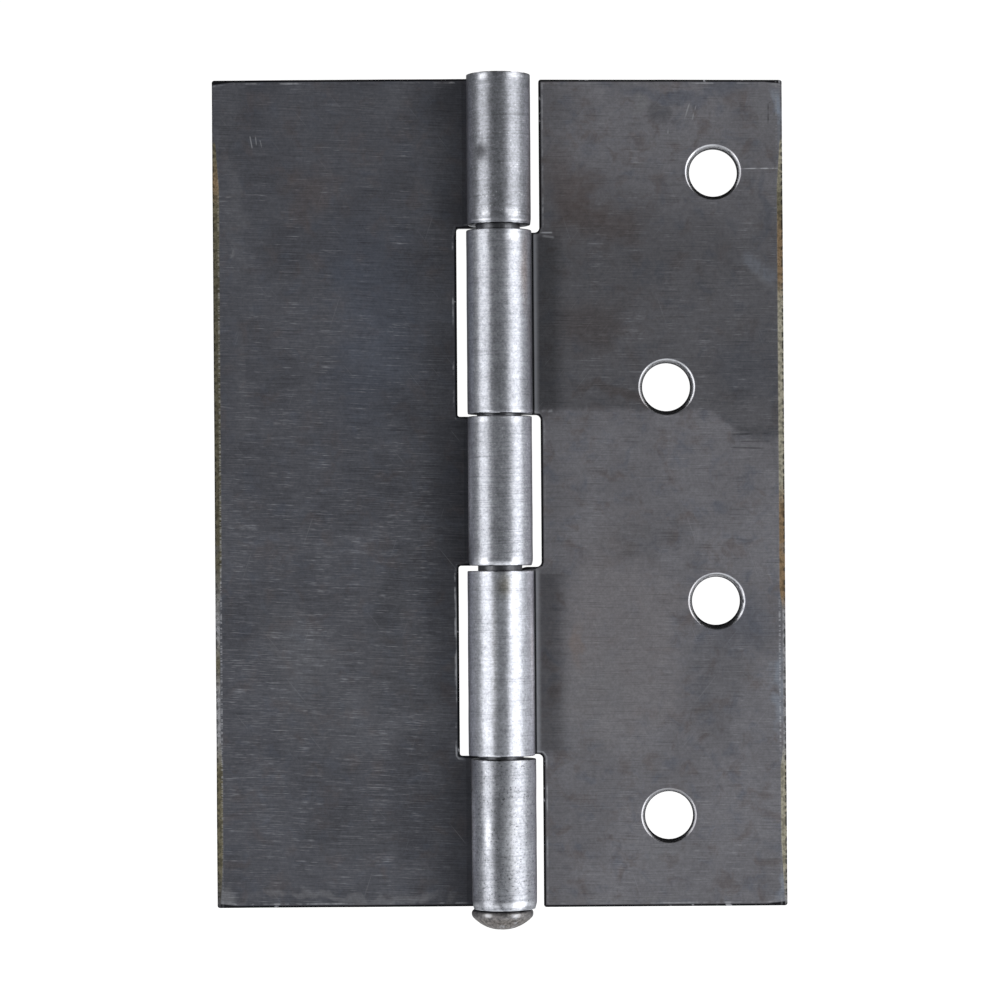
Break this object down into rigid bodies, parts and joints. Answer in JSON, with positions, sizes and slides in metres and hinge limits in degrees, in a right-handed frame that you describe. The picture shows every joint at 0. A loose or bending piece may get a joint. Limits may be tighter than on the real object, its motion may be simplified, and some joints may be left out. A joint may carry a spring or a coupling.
{
  "type": "loose pin butt hinge",
  "caption": "Steel butt hinge laid open: a plain leaf and a drilled leaf with rolled knuckles that interlock on one loose pin with a low domed head.",
  "frame": {"origin": "on the pin's axis, halfway up the hinge measured over the leaves and the pin's head", "axes": "+Z along the pin, away from its head; +Y out of the leaves' flat backs, the side that lies on the door or jamb; -Y the side where the barrel stands proud; +X towards the drilled leaf's outer edge"},
  "size_m": [0.07, 0.0078, 0.1042],
  "materials": {
    "plain_leaf_steel": "bare cold rolled steel, dark and satin, lightly streaked, with dull olive mill edges",
    "drilled_leaf_steel": "bare cold rolled steel, satin, with faint brownish stains and fine scratches",
    "pin_steel": "drawn steel rod with a dull forged head"
  },
  "bodies": {
    "drilled_leaf": {"drilled_leaf": "drilled_leaf_steel"},
    "plain_leaf": {"plain_leaf": "plain_leaf_steel"},
    "loose_pin": {"loose_pin": "pin_steel"}
  },
  "joints": [
    {"name": "leaf_swing", "type": "hinge", "parent": "drilled_leaf", "child": "plain_leaf", "pos_m": [0, 0, 0], "axis": [0, 0, 1], "range_deg": [-102, 188]},
    {"name": "pin_pull", "type": "slide", "parent": "drilled_leaf", "child": "loose_pin", "axis": [0, 0, -1], "range_m": [0, 0.105]}
  ]
}
